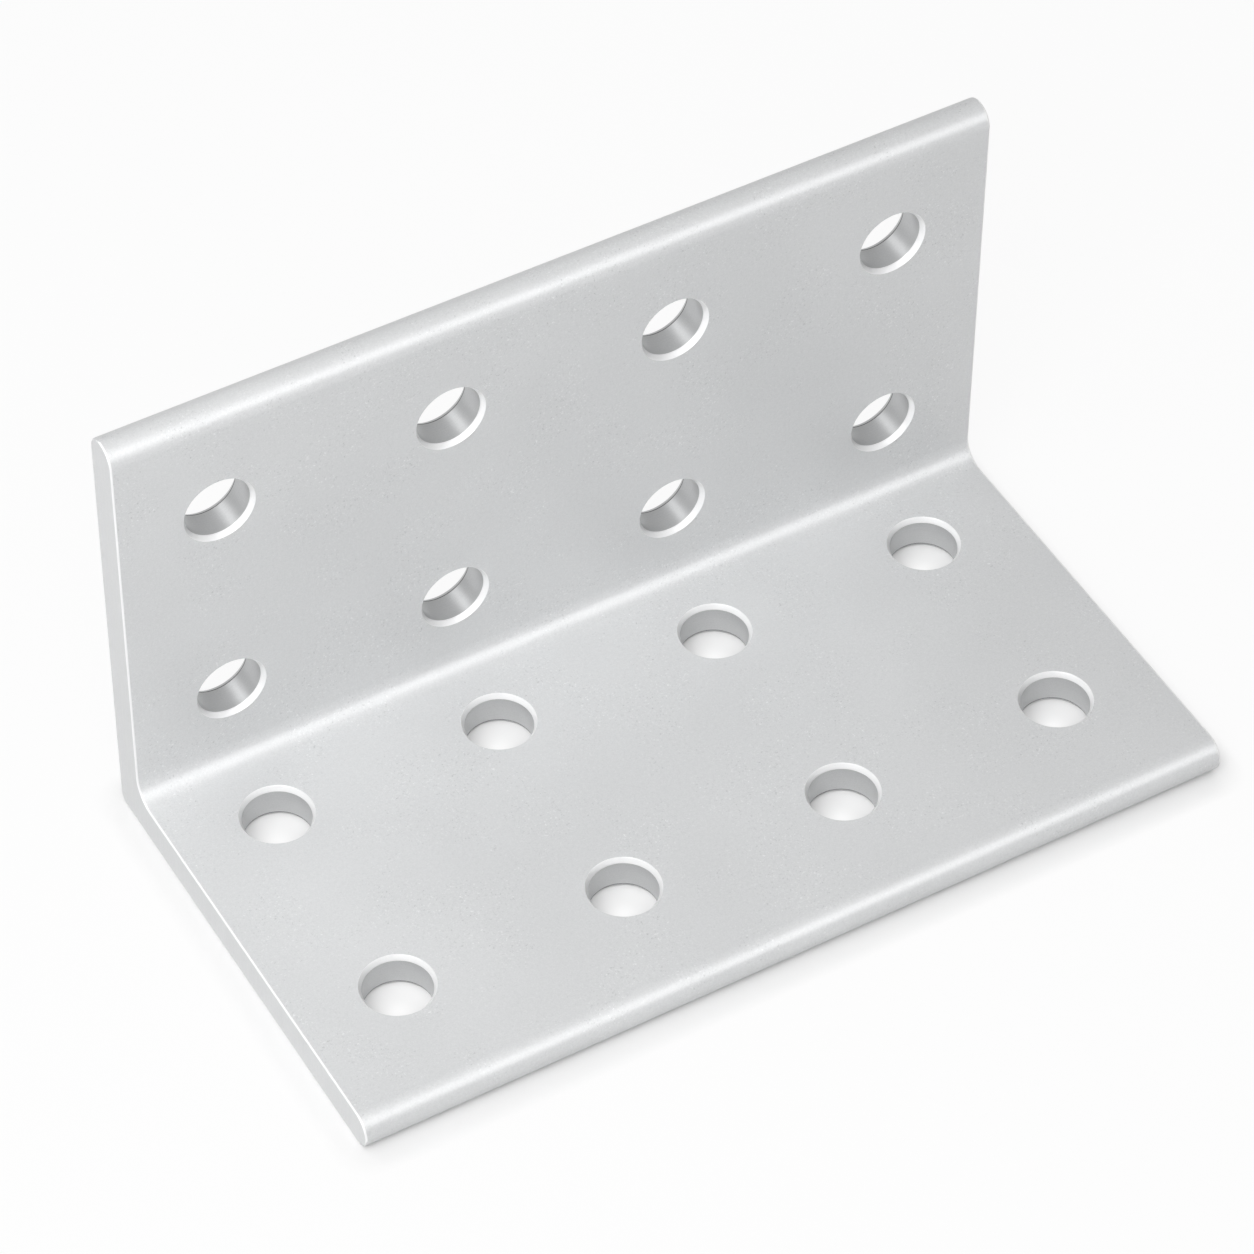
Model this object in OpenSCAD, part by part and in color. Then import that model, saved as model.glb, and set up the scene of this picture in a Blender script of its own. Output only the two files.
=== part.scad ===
// Angle bracket: one solid extruded angle with a two by four grid of bolt holes in each leg.
// Millimetres. X runs along the length, the upright leg stands at the back (+Y), the base lies on Z = 0.

/* [Angle] */
// depth of the base and height of the upright, measured from the outer heel
leg = 62; // [58:1:80]
// thickness of both legs
wall = 5; // [4:0.1:7]
// radius in the inside corner
inside_fillet = 3; // [1:0.1:4]
// radius on the outer heel
heel_radius = 1.2; // [0.6:0.1:3]
// broken edge around both sawn ends
end_break = 0.25; // [0.1:0.05:0.5]

/* [Bolt holes] */
// holes in each row
columns = 4; // [2:1:6]
// distance from the outer columns to the sawn ends
end_margin = 13; // [7:0.5:25]
// spacing of the holes along the length
column_pitch = 30; // [24:0.5:34]
// spacing of the two rows on each leg
row_pitch = 30; // [24:0.5:34]
// distance from the back face to the first row of the base
base_first_row = 15.5; // [13:0.5:20]
// distance from the underside to the first row of the upright
upright_first_row = 17; // [13:0.5:20]
// diameter of the bore
bore_diameter = 8.4; // [5:0.1:9]
// width of the bevel around each mouth
mouth_bevel = 0.4; // [0.1:0.05:0.8]
// depth of the bevel around each mouth
mouth_depth = 0.8; // [0.2:0.05:1.5]

/* [Hidden] */
$fn = 96;
toe_radius = wall / 2;
last_column = (columns - 1) * column_pitch / 2;
half_length = last_column + end_margin;
// back face of the upright, with the whole bracket centred over the origin
back_y = leg / 2;
bore_radius = bore_diameter / 2;
// how far each cutter runs past the face it opens
overrun = 1;
satin_aluminium = [0.8, 0.81, 0.82];

// rectangle of the given thickness, its two faces bevelled at both ends of the length
module bevelled_strip(thickness) {
    polygon([
        [-half_length, end_break],
        [-half_length + end_break, 0],
        [half_length - end_break, 0],
        [half_length, end_break],
        [half_length, thickness - end_break],
        [half_length - end_break, thickness],
        [-half_length + end_break, thickness],
        [-half_length, thickness - end_break]
    ]);
}

// round bar along X, bevelled at both ends
module bevelled_bar(radius) {
    rotate([0, 90, 0])
        rotate_extrude()
            polygon([
                [0, -half_length],
                [radius - end_break, -half_length],
                [radius, -half_length + end_break],
                [radius, half_length - end_break],
                [radius - end_break, half_length],
                [0, half_length]
            ]);
}

// one leg lying on Z = 0 from its heel at Y = 0 to its fully rounded toe at Y = -leg
module leg_plate() {
    translate([0, -heel_radius, 0])
        rotate([90, 0, 0])
            linear_extrude(height = leg - toe_radius - heel_radius)
                bevelled_strip(wall);
    translate([0, toe_radius - leg, toe_radius])
        bevelled_bar(toe_radius);
}

// the same leg stood up against the plane Y = 0
module upright_plate() {
    mirror([0, 1, 1])
        leg_plate();
}

// rounded outer corner where the legs meet
module heel() {
    translate([0, -heel_radius, heel_radius])
        bevelled_bar(heel_radius);
}

// concave web that fills the inside corner
module corner_web() {
    span = inside_fillet + toe_radius;
    difference() {
        translate([-half_length, -wall - inside_fillet, toe_radius])
            cube([2 * half_length, span, span]);
        translate([0, -wall - inside_fillet, wall + inside_fillet])
            rotate([0, 90, 0])
                rotate_extrude()
                    polygon([
                        [0, -half_length - overrun],
                        [inside_fillet + end_break + overrun, -half_length - overrun],
                        [inside_fillet, -half_length + end_break],
                        [inside_fillet, half_length - end_break],
                        [inside_fillet + end_break + overrun, half_length + overrun],
                        [0, half_length + overrun]
                    ]);
    }
}

// cutter for one hole through a leg lying on Z = 0, with a bevel at either mouth
module hole_cutter() {
    slope = mouth_bevel / mouth_depth;
    flare = bore_radius + mouth_bevel + overrun * slope;
    translate([0, 0, -overrun])
        cylinder(h = wall + 2 * overrun, r = bore_radius);
    translate([0, 0, -overrun])
        cylinder(h = overrun + mouth_depth, r1 = flare, r2 = bore_radius);
    translate([0, 0, wall - mouth_depth])
        cylinder(h = overrun + mouth_depth, r1 = bore_radius, r2 = flare);
}

// both rows of holes of a leg lying on Z = 0, the first row this far from the heel
module hole_grid(first_row) {
    for (column = [0 : columns - 1])
        for (row = [0, 1])
            translate([column * column_pitch - last_column, -first_row - row * row_pitch, 0])
                hole_cutter();
}

module bracket() {
    color(satin_aluminium)
        translate([0, back_y, 0])
            difference() {
                union() {
                    leg_plate();
                    upright_plate();
                    heel();
                    corner_web();
                }
                hole_grid(base_first_row);
                mirror([0, 1, 1])
                    hole_grid(upright_first_row);
            }
}

bracket();
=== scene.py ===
import math
import bmesh
import bpy
from mathutils import Euler, Matrix, Vector


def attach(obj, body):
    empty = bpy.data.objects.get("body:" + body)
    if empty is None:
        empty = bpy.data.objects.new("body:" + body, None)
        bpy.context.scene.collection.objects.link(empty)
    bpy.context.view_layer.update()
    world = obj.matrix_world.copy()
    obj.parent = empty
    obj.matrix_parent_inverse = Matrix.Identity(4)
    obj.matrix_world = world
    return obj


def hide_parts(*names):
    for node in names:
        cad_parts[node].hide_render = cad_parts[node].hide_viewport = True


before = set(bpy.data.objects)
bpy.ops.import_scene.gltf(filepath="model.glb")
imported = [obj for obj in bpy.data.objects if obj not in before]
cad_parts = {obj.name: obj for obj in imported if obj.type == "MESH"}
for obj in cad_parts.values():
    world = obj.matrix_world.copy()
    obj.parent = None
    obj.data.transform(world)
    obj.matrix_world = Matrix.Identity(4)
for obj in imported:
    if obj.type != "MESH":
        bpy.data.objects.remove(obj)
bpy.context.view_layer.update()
mm = 0.001
facing = 0.9  # a face looks along an axis when its normal goes at least this far along it
scene = bpy.context.scene
scene.view_settings.view_transform = "Standard"
bpy.ops.object.select_all(action="DESELECT")


# camera, solved from the hole mouths and the outline
cameraSetup = {
    "turn": -30.3016,  # degrees about Z, from straight in front of the base
    "tilt": 46.8582,  # degrees above the floor
    "roll": 0.5060,
    "pivot": (0, 31 * mm, 0),  # the foot of the back face
    "across": 10.101 * mm,  # aim point, along the picture's own axes
    "rise": -0.543 * mm,
    "distance": 696.858 * mm,
    "lens": 162.547,
    "sensor": 36,
    "nearest": 10 * mm,
}


def placeCamera(setup):
    turned = Euler((math.radians(90 - setup["tilt"]), 0, math.radians(setup["turn"]))).to_matrix()
    turned = turned @ Matrix.Rotation(math.radians(setup["roll"]), 3, "Z")
    offset = turned @ Vector((setup["across"], setup["rise"], setup["distance"]))
    bpy.ops.object.camera_add(location=Vector(setup["pivot"]) + offset, rotation=turned.to_euler())
    camera = bpy.context.object
    camera.name = "camera"
    camera.data.lens = setup["lens"]
    camera.data.sensor_width = setup["sensor"]
    camera.data.clip_start = setup["nearest"]
    scene.camera = camera


placeCamera(cameraSetup)
print("camera placed")


# modelling helpers

def openMesh(piece):
    bpy.context.view_layer.objects.active = piece
    bpy.ops.object.mode_set(mode="EDIT")
    bpy.ops.mesh.select_all(action="DESELECT")


def closeMesh():
    bpy.ops.object.mode_set(mode="OBJECT")


def pickFaces(piece, test):
    bpy.ops.mesh.select_mode(type="FACE")
    bpy.ops.mesh.select_all(action="DESELECT")
    mesh = bmesh.from_edit_mesh(piece.data)
    picked = [face for face in mesh.faces if test(face.calc_center_median(), face.normal)]
    for face in picked:
        face.select_set(True)
    bmesh.update_edit_mesh(piece.data)
    return len(picked)


def pickEdges(piece, test):
    bpy.ops.mesh.select_mode(type="EDGE")
    bpy.ops.mesh.select_all(action="DESELECT")
    mesh = bmesh.from_edit_mesh(piece.data)
    for edge in mesh.edges:
        if test(edge.verts[0].co, edge.verts[1].co):
            edge.select_set(True)
    bmesh.update_edit_mesh(piece.data)


def near(a, b, slack=0.01 * mm):
    return abs(a - b) < slack


# the extruded angle: a flat bar, its rear strip drawn up, then the corners rounded
angleShape = {
    "length": 116 * mm,
    "leg": 62 * mm,
    "wall": 5 * mm,
    "toeRadius": 2.5 * mm,
    "toeSteps": 20,
    "fillet": 3 * mm,
    "filletSteps": 20,
    "heel": 1.2 * mm,
    "heelSteps": 10,
    "endBreak": 0.2 * mm,
    "endSteps": 3,
    "weld": 0.002 * mm,
    "flat": math.radians(0.1),  # faces closer in angle than this are joined
}


def makeAngle(shape):
    leg, wall = shape["leg"], shape["wall"]
    front, back = -leg / 2, leg / 2
    bodyLength = shape["length"] - 2 * shape["endBreak"]
    bpy.ops.mesh.primitive_cube_add(size=1, location=(0, 0, wall / 2), scale=(bodyLength, leg, wall))
    angle = bpy.context.object
    angle.name = "angleBracket"
    bpy.ops.object.transform_apply(location=True, rotation=True, scale=True)
    openMesh(angle)
    bpy.ops.mesh.select_all(action="SELECT")
    bpy.ops.mesh.bisect(plane_co=(0, back - wall, 0), plane_no=(0, 1, 0))
    pickFaces(angle, lambda centre, normal: normal.z > facing and centre.y > back - wall)
    bpy.ops.mesh.extrude_region_move(TRANSFORM_OT_translate={"value": (0, 0, leg - wall)})

    def longEdge(places):
        def test(a, b):
            return near(a.y, b.y) and near(a.z, b.z) and any(near(a.y, y) and near(a.z, z) for y, z in places)
        return test

    pickEdges(angle, longEdge([(front, 0), (front, wall), (back - wall, leg), (back, leg)]))
    bpy.ops.mesh.bevel(offset=shape["toeRadius"], segments=shape["toeSteps"], affect="EDGES")
    pickEdges(angle, longEdge([(back - wall, wall)]))
    bpy.ops.mesh.bevel(offset=shape["fillet"], segments=shape["filletSteps"], affect="EDGES")
    pickEdges(angle, longEdge([(back, 0)]))
    bpy.ops.mesh.bevel(offset=shape["heel"], segments=shape["heelSteps"], affect="EDGES")
    bpy.ops.mesh.select_all(action="SELECT")
    bpy.ops.mesh.remove_doubles(threshold=shape["weld"])
    bpy.ops.mesh.dissolve_limited(angle_limit=shape["flat"])
    # the broken edge round each sawn end, drawn out in short steps that turn a quarter round
    for side in (-1, 1):
        pickFaces(angle, lambda centre, normal: normal.x * side > facing)
        for step in range(shape["endSteps"]):
            low = math.radians(90 * step / shape["endSteps"])
            high = math.radians(90 * (step + 1) / shape["endSteps"])
            inward = shape["endBreak"] * (math.cos(low) - math.cos(high))
            outward = shape["endBreak"] * (math.sin(high) - math.sin(low))
            bpy.ops.mesh.inset(thickness=inward, depth=outward)
    closeMesh()
    return angle


# bolt holes: one cutter with flared, softly lipped mouths, copied to all sixteen places
holeShape = {
    "columns": (-45 * mm, -15 * mm, 15 * mm, 45 * mm),
    "baseRows": (15.5 * mm, -14.5 * mm),  # Y
    "uprightRows": (17 * mm, 47 * mm),  # Z
    "facets": 128,
    # depth under the face and radius in mm: outside the metal, lip, bevel, then the plain bore
    "mouth": (
        (-0.5, 4.9),
        (0, 4.6), (0.015, 4.578), (0.05, 4.552),
        (0.58, 4.225), (0.64, 4.206), (0.72, 4.2),
    ),
}


def makeCutter(shape, wall):
    rings = [(depth * mm, radius * mm) for depth, radius in shape["mouth"]]
    rings += [(wall - depth, radius) for depth, radius in reversed(rings)]
    depth, radius = rings[0]
    bpy.ops.mesh.primitive_circle_add(
        vertices=shape["facets"], radius=radius, fill_type="NGON", location=(0, 0, depth))
    cutter = bpy.context.object
    cutter.name = "holeCutter"
    bpy.ops.object.transform_apply(location=True, rotation=True, scale=True)
    openMesh(cutter)
    bpy.ops.mesh.select_all(action="SELECT")
    for nextDepth, nextRadius in rings[1:]:
        bpy.ops.mesh.extrude_region_move(TRANSFORM_OT_translate={"value": (0, 0, nextDepth - depth)})
        grow = nextRadius / radius
        bpy.ops.transform.resize(value=(grow, grow, 1), center_override=(0, 0, nextDepth))
        depth, radius = nextDepth, nextRadius
    bpy.ops.mesh.select_all(action="SELECT")
    bpy.ops.mesh.normals_make_consistent(inside=False)
    closeMesh()
    return cutter


def drillHoles(angle, angleSizes, shape):
    wall, back = angleSizes["wall"], angleSizes["leg"] / 2
    cutter = makeCutter(shape, wall)
    stand = Matrix.Translation((0, back, 0)) @ Matrix.Rotation(math.radians(90), 4, "X")
    places = []
    for x in shape["columns"]:
        places += [Matrix.Translation((x, y, 0)) for y in shape["baseRows"]]
        places += [Matrix.Translation((x, 0, z)) @ stand for z in shape["uprightRows"]]
    copies = []
    for place in places:
        copy = cutter.copy()
        copy.data = cutter.data.copy()
        scene.collection.objects.link(copy)
        copy.matrix_world = place
        copies.append(copy)
    bpy.data.objects.remove(cutter)
    bpy.ops.object.select_all(action="DESELECT")
    for copy in copies:
        copy.select_set(True)
    bpy.context.view_layer.objects.active = copies[0]
    bpy.ops.object.join()
    tool = bpy.context.object
    bpy.ops.object.transform_apply(location=True, rotation=True, scale=True)
    drill = angle.modifiers.new("drill", "BOOLEAN")
    drill.object = tool
    drill.operation = "DIFFERENCE"
    drill.solver = "EXACT"
    bpy.ops.object.select_all(action="DESELECT")
    angle.select_set(True)
    bpy.context.view_layer.objects.active = angle
    bpy.ops.object.modifier_apply(modifier=drill.name)
    bpy.data.objects.remove(tool)


def finishMesh(piece, weld=0.001 * mm, crease=40, weight=50):
    openMesh(piece)
    bpy.ops.mesh.select_all(action="SELECT")
    bpy.ops.mesh.remove_doubles(threshold=weld)
    bpy.ops.mesh.normals_make_consistent(inside=False)
    closeMesh()
    bpy.ops.object.select_all(action="DESELECT")
    piece.select_set(True)
    bpy.ops.object.shade_smooth_by_angle(angle=math.radians(crease))
    even = piece.modifiers.new("evenNormals", "WEIGHTED_NORMAL")
    even.mode = "FACE_AREA"
    even.weight = weight
    even.keep_sharp = True
    bpy.ops.object.modifier_apply(modifier=even.name)


angle = makeAngle(angleShape)
print("angle drawn,", len(angle.data.polygons), "faces")
drillHoles(angle, angleShape, holeShape)
finishMesh(angle)
print("holes drilled,", len(angle.data.polygons), "faces")


# shader maths

class Wire:  # a node output that can be added, subtracted and multiplied
    def __init__(self, tree, socket=None):
        self.tree = tree
        self.socket = socket

    def node(self, kind, settings=None, inputs=None, output=0):
        made = self.tree.nodes.new(kind)
        for name, value in (settings or {}).items():
            setattr(made, name, value)
        for name, value in (inputs or {}).items():
            if isinstance(value, Wire):
                self.tree.links.new(value.socket, made.inputs[name])
            else:
                made.inputs[name].default_value = value
        return Wire(self.tree, made.outputs[output] if made.outputs else None)

    def maths(self, operation, first, second):
        return self.node("ShaderNodeMath", {"operation": operation}, {0: first, 1: second})

    def __add__(self, other):
        return self.maths("ADD", self, other)

    def __radd__(self, other):
        return self.maths("ADD", other, self)

    def __sub__(self, other):
        return self.maths("SUBTRACT", self, other)

    def __rsub__(self, other):
        return self.maths("SUBTRACT", other, self)

    def __mul__(self, other):
        return self.maths("MULTIPLY", self, other)

    def __rmul__(self, other):
        return self.maths("MULTIPLY", other, self)


def startMaterial(name):
    material = bpy.data.materials.new(name)
    material.use_nodes = True
    material.node_tree.nodes.clear()
    return material, Wire(material.node_tree)


def endMaterial(desk, shader):
    desk.node("ShaderNodeOutputMaterial", inputs={"Surface": shader})


def clamped(desk, value):
    return desk.node("ShaderNodeClamp", inputs={"Value": value})


def noise(desk, place, size, detail=2, roughness=0.5):
    return desk.node("ShaderNodeTexNoise", {"noise_dimensions": "3D"},
                     {"Vector": place, "Scale": 1 / size, "Detail": detail, "Roughness": roughness})


def blend(desk, amount, first, second):
    return desk.node("ShaderNodeMix", {"data_type": "RGBA"}, {0: amount, 6: first, 7: second}, output=2)


def weighed(layers, shares, start=0, middle=0):  # start plus each layer's share, counted from middle
    total = start
    for name, share in shares.items():
        total = total + share * (layers[name] - middle)
    return total


# a metal finish, made of layers: each has a share in the tone from dark to light, in the wear
# that changes the roughness, and in the bumps
def metalMaterial(name, look, makeLayers):
    material, desk = startMaterial(name)
    place = desk.node("ShaderNodeTexCoord", output="Object")
    layers = makeLayers(desk, place, look)
    colour = blend(desk, weighed(layers, look["tone"], look["lift"]), look["dark"], look["light"])
    rough = weighed(layers, look["wear"], look["roughness"], middle=0.5)
    height = weighed(layers, look["bumps"])
    bump = desk.node("ShaderNodeBump", inputs={"Strength": 1.0, "Distance": look["relief"], "Height": height})
    shader = desk.node("ShaderNodeBsdfPrincipled", inputs={
        "Base Color": colour, "Metallic": look["metallic"], "Roughness": rough, "Normal": bump})
    endMaterial(desk, shader)
    return material


# the blasted and anodised skin of the extrusion
skinLook = {
    "dark": (0.52, 0.528, 0.534, 1),
    "light": (0.88, 0.887, 0.893, 1),
    "metallic": 0.25,  # the clear oxide layer scatters the rest
    "roughness": 0.4,
    "relief": 0.014 * mm,
    "lift": 0.14,
    "tone": {"grain": 0.34, "coarse": 0.18, "cloud": 0.2, "fleck": 0.55},
    "wear": {"grain": 0.12, "cloud": 0.06},
    "bumps": {"grain": 0.6, "coarse": 0.3, "fleck": 0.9},
    "grain": 0.2 * mm,
    "coarse": 0.5 * mm,
    "cloud": 18 * mm,
    "fleck": 0.3 * mm,  # small specks that the blasting left, gathered in patches
    "fleckEdges": (0.4, 0.6),  # the noise makes a sunken fleck below, a raised one above
    "fleckRise": 8,
    "patch": 7 * mm,
    "patchEdge": 0.45,
    "patchRise": 7,
    "sparse": 0.25,  # strength of the flecks outside the patches
}


def skinLayers(desk, place, look):
    fleck = noise(desk, place, look["fleck"], detail=3, roughness=0.7)
    patch = noise(desk, place, look["patch"])
    low, high = look["fleckEdges"]
    raised = clamped(desk, (fleck - high) * look["fleckRise"])
    sunken = clamped(desk, (low - fleck) * look["fleckRise"])
    gathered = clamped(desk, (patch - look["patchEdge"]) * look["patchRise"])
    return {
        "grain": noise(desk, place, look["grain"], roughness=0.6),
        "coarse": noise(desk, place, look["coarse"]),
        "cloud": noise(desk, place, look["cloud"]),
        "fleck": (raised - sunken) * (look["sparse"] + (1 - look["sparse"]) * gathered),
    }


# freshly cut metal: the hole mouths on the inner faces and the broken edges of the ends; the outer mouths and
# the breaks facing down or back get darker finishes instead, as painted shade
cutLook = {
    "dark": (0.88, 0.884, 0.888, 1),
    "light": (0.97, 0.973, 0.976, 1),
    "metallic": 0.12,
    "roughness": 0.42,
    "relief": 0.004 * mm,
    "lift": 0,
    "tone": {"grain": 1},
    "wear": {"grain": 0.1},
    "bumps": {"grain": 1},
    "grain": 0.12 * mm,
}

# a thin near-black band painted where the drill broke through the outer face: painted shadow at each bore's
# far rim
paintedShadowLineLook = {
    "dark": (0.10, 0.102, 0.105, 1),
    "light": (0.22, 0.223, 0.226, 1),
    "metallic": 0.2,
    "roughness": 0.6,
    "relief": 0.004 * mm,
    "lift": 0,
    "tone": {"grain": 1},
    "wear": {"grain": 0.1},
    "bumps": {"grain": 1},
    "grain": 0.1 * mm,
}


def plainLayers(desk, place, look):
    return {"grain": noise(desk, place, look["grain"])}


# drilled bores, with the drill's fine rings, in a tone darker than the cut mouths as painted shade inside the
# holes
boreAndShadeLook = {
    "dark": (0.45, 0.456, 0.461, 1),
    "light": (0.67, 0.677, 0.682, 1),
    "metallic": 0.74,
    "roughness": 0.42,
    "relief": 0.006 * mm,
    "lift": 0,
    "tone": {"rings": 0.5, "grain": 0.5},
    "wear": {"rings": 0.12},
    "bumps": {"rings": 0.5, "grain": 0.5},
    "rings": 0.09 * mm,
    "grain": 0.15 * mm,
    "uprightFrom": angleShape["leg"] / 2 - angleShape["wall"],  # Y of the upright's inner face
}


def boreLayers(desk, place, look):
    y = desk.node("ShaderNodeSeparateXYZ", inputs={"Vector": place}, output="Y")
    z = desk.node("ShaderNodeSeparateXYZ", inputs={"Vector": place}, output="Z")
    inUpright = desk.maths("GREATER_THAN", y, look["uprightFrom"])
    along = z * (1 - inUpright) + y * inUpright  # along the hole's own axis
    rings = desk.node("ShaderNodeTexNoise", {"noise_dimensions": "1D"},
                      {"W": along, "Scale": 1 / look["rings"], "Detail": 2.0})
    return {"rings": rings, "grain": noise(desk, place, look["grain"])}


# sawn ends, with faint upright saw lines; the same colour is painted on the edge breaks facing down or back
# as shade
sawnAndShadeLook = {
    "dark": (0.60, 0.608, 0.614, 1),
    "light": (0.79, 0.797, 0.802, 1),
    "metallic": 0.25,
    "roughness": 0.45,
    "relief": 0.006 * mm,
    "lift": 0,
    "tone": {"strokes": 0.45, "grain": 0.55},
    "wear": {"grain": 0.1},
    "bumps": {"strokes": 0.45, "grain": 0.55},
    "stroke": (1 * mm, 0.12 * mm, 5 * mm),  # size of a saw mark along X, Y and Z
    "grain": 0.16 * mm,
}


def sawnLayers(desk, place, look):
    squeeze = [1 / size for size in look["stroke"]]
    drawn = desk.node("ShaderNodeMapping", {"vector_type": "POINT"}, {"Vector": place, "Scale": squeeze})
    return {"strokes": noise(desk, drawn, 1), "grain": noise(desk, place, look["grain"])}


# how the faces of each finish are told apart, by the place of their middles and their normals
faceFit = {
    "slack": 0.02 * mm,  # past a leg's inner face and still in the leg
    "bore": 0.001 * mm,  # outside the bore's radius and still on the bore
    "end": 0.01 * mm,  # inside the end plane and still on the end
    "square": 0.99,  # a normal this much along X belongs to a sawn end
    # the outward test marks edge breaks in shade, which are painted in the darker sawn colour
    "outward": 0.1,  # a normal this much down or back belongs to an outer face
    "chord": 0.99,  # the middle of a bore's facet lies a little inside its radius
}


def dressBracket(piece, angleSizes, holes, fit):
    wall, back = angleSizes["wall"], angleSizes["leg"] / 2
    inner = back - wall
    endPlane = angleSizes["length"] / 2
    breakPlane = endPlane - angleSizes["endBreak"]
    mouthRadius = holes["mouth"][1][1] * mm
    bandTop, bandRadius = (value * mm for value in holes["mouth"][-3])
    bandFoot, boreRadius = (value * mm for value in holes["mouth"][-1])
    for material in (
        metalMaterial("satinSkin", skinLook, skinLayers),
        metalMaterial("cutEdge", cutLook, plainLayers),
        metalMaterial("drilledBoreWithPaintedShade", boreAndShadeLook, boreLayers),
        metalMaterial("sawnEndAndShadedBreak", sawnAndShadeLook, sawnLayers),
        metalMaterial("paintedShadowLine", paintedShadowLineLook, plainLayers),
    ):
        piece.data.materials.append(material)

    def fromAxis(centre):  # distance to the nearest hole axis, inside the leg that it goes through
        distances = []
        for x in holes["columns"]:
            if centre.y > inner - fit["slack"]:
                distances += [math.hypot(centre.x - x, centre.z - z) for z in holes["uprightRows"]]
            if centre.z < wall + fit["slack"]:
                distances += [math.hypot(centre.x - x, centre.y - y) for y in holes["baseRows"]]
        return min(distances, default=math.inf)

    def depthInside(centre):  # from the inner face of the leg
        return wall - centre.z if centre.y < inner - fit["slack"] else centre.y - inner

    # bores, and the mouth bevels on the outer faces, painted in the darker bore colour as shade
    def onBoreOrShadedMouth(centre, normal):
        widest = boreRadius + fit["bore"] if depthInside(centre) < wall / 2 else mouthRadius
        return fromAxis(centre) < widest

    def onCut(centre, normal):
        shallow = depthInside(centre) < wall / 2
        onMouth = shallow and boreRadius + fit["bore"] <= fromAxis(centre) < mouthRadius
        onEnd = abs(centre.x) > breakPlane and abs(normal.x) < fit["square"]
        return onMouth or onEnd

    # sawn end faces, and the edge breaks facing down or back, painted in the darker sawn colour as shade
    def onSawnOrShadedBreak(centre, normal):
        outside = normal.z < -fit["outward"] or normal.y > fit["outward"]
        shadedOuterBreak = abs(centre.x) > breakPlane and outside
        return shadedOuterBreak or abs(centre.x) > endPlane - fit["end"] and abs(normal.x) > fit["square"]

    # a thin band at the foot of each bore, painted near-black as the shadow at the far rim
    def onPaintedShadowLine(centre, normal):
        fromOutside = wall - depthInside(centre)
        inBand = fit["chord"] * boreRadius < fromAxis(centre) < bandRadius
        return inBand and bandTop < fromOutside < bandFoot

    openMesh(piece)
    for index, test in ((1, onCut), (2, onBoreOrShadedMouth), (3, onSawnOrShadedBreak), (4, onPaintedShadowLine)):
        found = pickFaces(piece, test)
        piece.active_material_index = index
        bpy.ops.object.material_slot_assign()
        print("   ", piece.data.materials[index].name, "on", found, "faces")
    closeMesh()


dressBracket(angle, angleShape, holeShape, faceFit)
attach(angle, "root")
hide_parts("bracket")
print("bracket dressed")


# floor, white for the camera and for reflections, with the bracket's soft shadow kept in its lit paint, and a
# painted shadow in the crease under the bracket
floorLook = {
    "size": 4.0,
    "drop": 0.03 * mm,
    "colour": (0.75, 0.75, 0.75, 1),
    "white": (1, 1, 1, 1),
    "glow": 0.93,  # share of plain white in what is seen directly, the rest is lit paint
    # painted shadow: ambient occlusion takes white out of the floor's glow in the crease
    "creaseShadow": 0.9,  # how much of the glow is lost in the crease under the bracket
    "reach": 3.8 * mm,
}


def seenDirectly(desk):  # 1 for what the camera sees, also in a reflection or through glass
    camera = desk.node("ShaderNodeLightPath", output="Is Camera Ray")
    glossy = desk.node("ShaderNodeLightPath", output="Is Glossy Ray")
    through = desk.node("ShaderNodeLightPath", output="Is Transmission Ray")
    return clamped(desk, camera + glossy + through)


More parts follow.
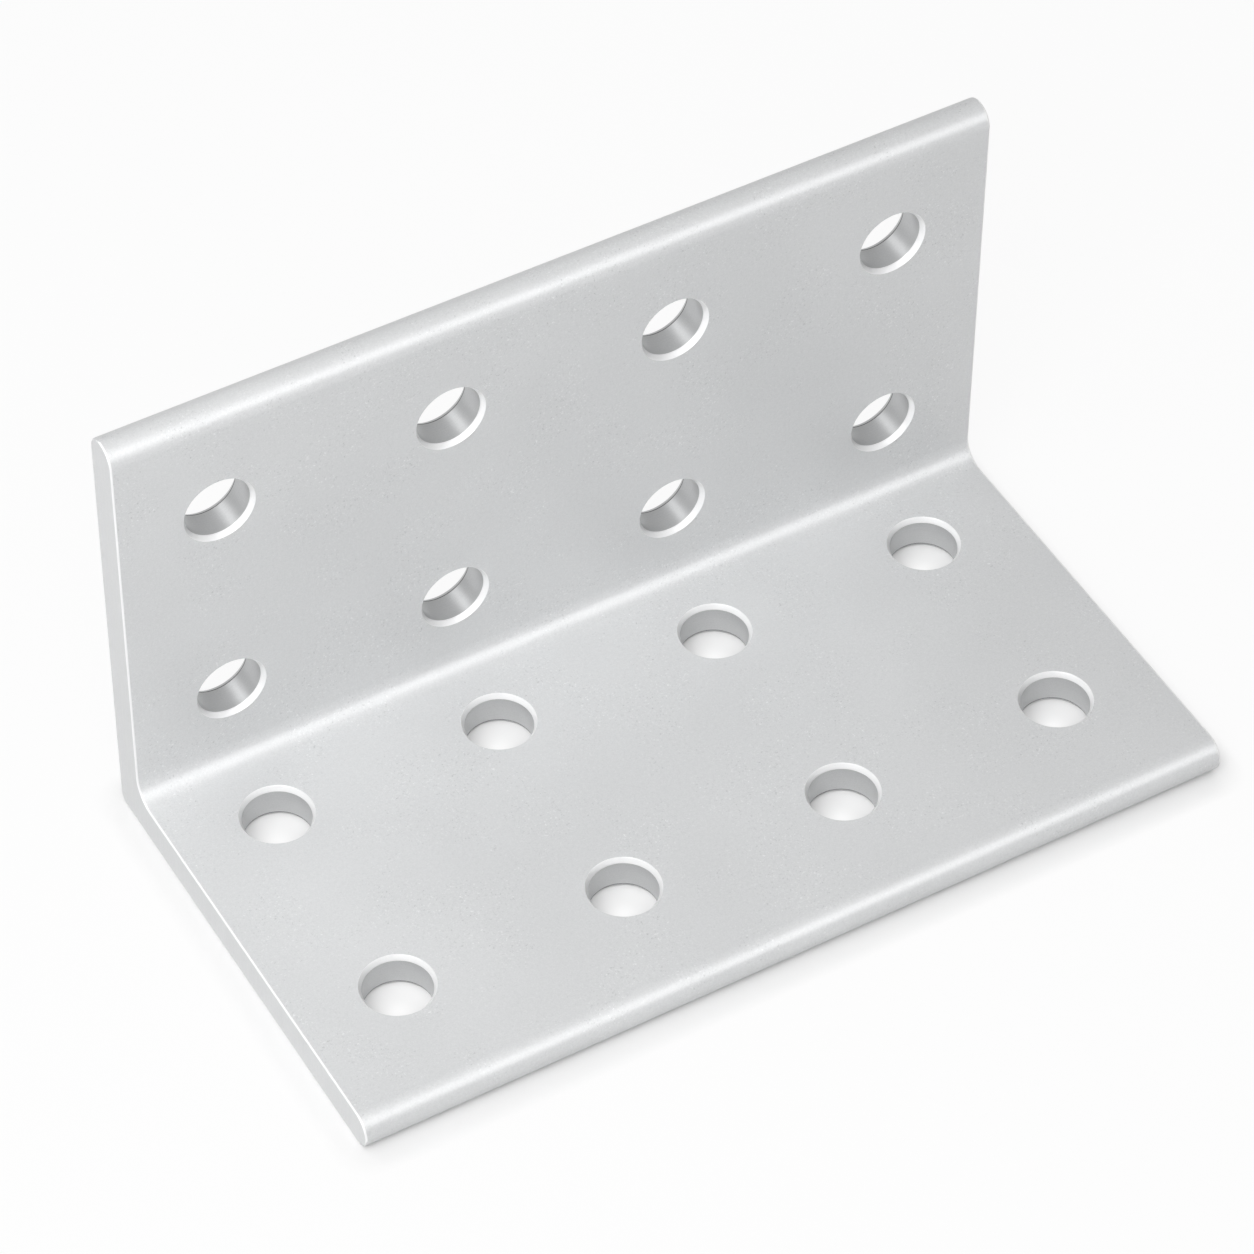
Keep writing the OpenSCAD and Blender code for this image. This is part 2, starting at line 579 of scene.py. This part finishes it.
def makeFloor(look):
    bpy.ops.mesh.primitive_plane_add(size=look["size"], location=(0, 0, -look["drop"]))
    floor = bpy.context.object
    floor.name = "floor"
    bpy.ops.object.transform_apply(location=True, rotation=True, scale=True)
    material, desk = startMaterial("paleFloor")
    paint = desk.node("ShaderNodeBsdfDiffuse", inputs={"Color": look["colour"]})
    glow = desk.node("ShaderNodeEmission", inputs={"Color": look["white"], "Strength": 1.0})
    # the painted crease shadow: ambient occlusion darkens the floor's glow next to the bracket
    free = desk.node("ShaderNodeAmbientOcclusion", inputs={"Distance": look["reach"]}, output="AO")
    crease = 1 - free * free
    share = seenDirectly(desk) * (look["glow"] * (1 - look["creaseShadow"] * crease))
    endMaterial(desk, desk.node("ShaderNodeMixShader", inputs={0: share, 1: paint, 2: glow}))
    floor.data.materials.append(material)


makeFloor(floorLook)


# studio light: a pale room, brighter where it shows than where it lights, and soft boxes
roomLook = {"colour": (1, 1, 1, 1), "seen": 0.6, "light": 0.23}


def makeRoom(look):
    world = bpy.data.worlds.new("paleRoom")
    scene.world = world
    world.use_nodes = True
    world.node_tree.nodes.clear()
    desk = Wire(world.node_tree)
    strength = look["light"] + (look["seen"] - look["light"]) * seenDirectly(desk)
    paint = desk.node("ShaderNodeBackground", inputs={"Color": look["colour"], "Strength": strength})
    desk.node("ShaderNodeOutputWorld", inputs={"Surface": paint})


makeRoom(roomLook)

# places and sizes in metres, power in watts; the edge box lights only the sheen
softBoxes = {
    "key": {"place": (-0.35, -0.30, 0.36), "size": 0.25, "power": 0.3, "diffuse": True},
    "aboveLeft": {"place": (-0.33, -0.2, 0.58), "size": 0.65, "power": 2.75, "diffuse": True},
    "aboveNear": {"place": (-0.2, -0.18, 0.36), "size": 0.2, "power": 0.62, "diffuse": True},
    "edge": {"place": (0.3, -0.6, 0.5), "size": 0.55, "power": 1.8, "diffuse": False},
    "behind": {"place": (-0.37, 0.47, 0.54), "size": 0.3, "power": 0.6, "diffuse": True},
}
boxAim = Vector((0, 0, 20 * mm))


def hangBox(name, box):
    place = Vector(box["place"])
    turned = (place - boxAim).to_track_quat("Z", "Y").to_euler()
    bpy.ops.object.light_add(type="AREA", location=place, rotation=turned)
    lamp = bpy.context.object
    lamp.name = name
    lamp.data.shape = "SQUARE"
    lamp.data.size = box["size"]
    lamp.data.energy = box["power"]
    lamp.visible_diffuse = box["diffuse"]


for name, box in softBoxes.items():
    hangBox(name, box)
print("floor, room and soft boxes set")
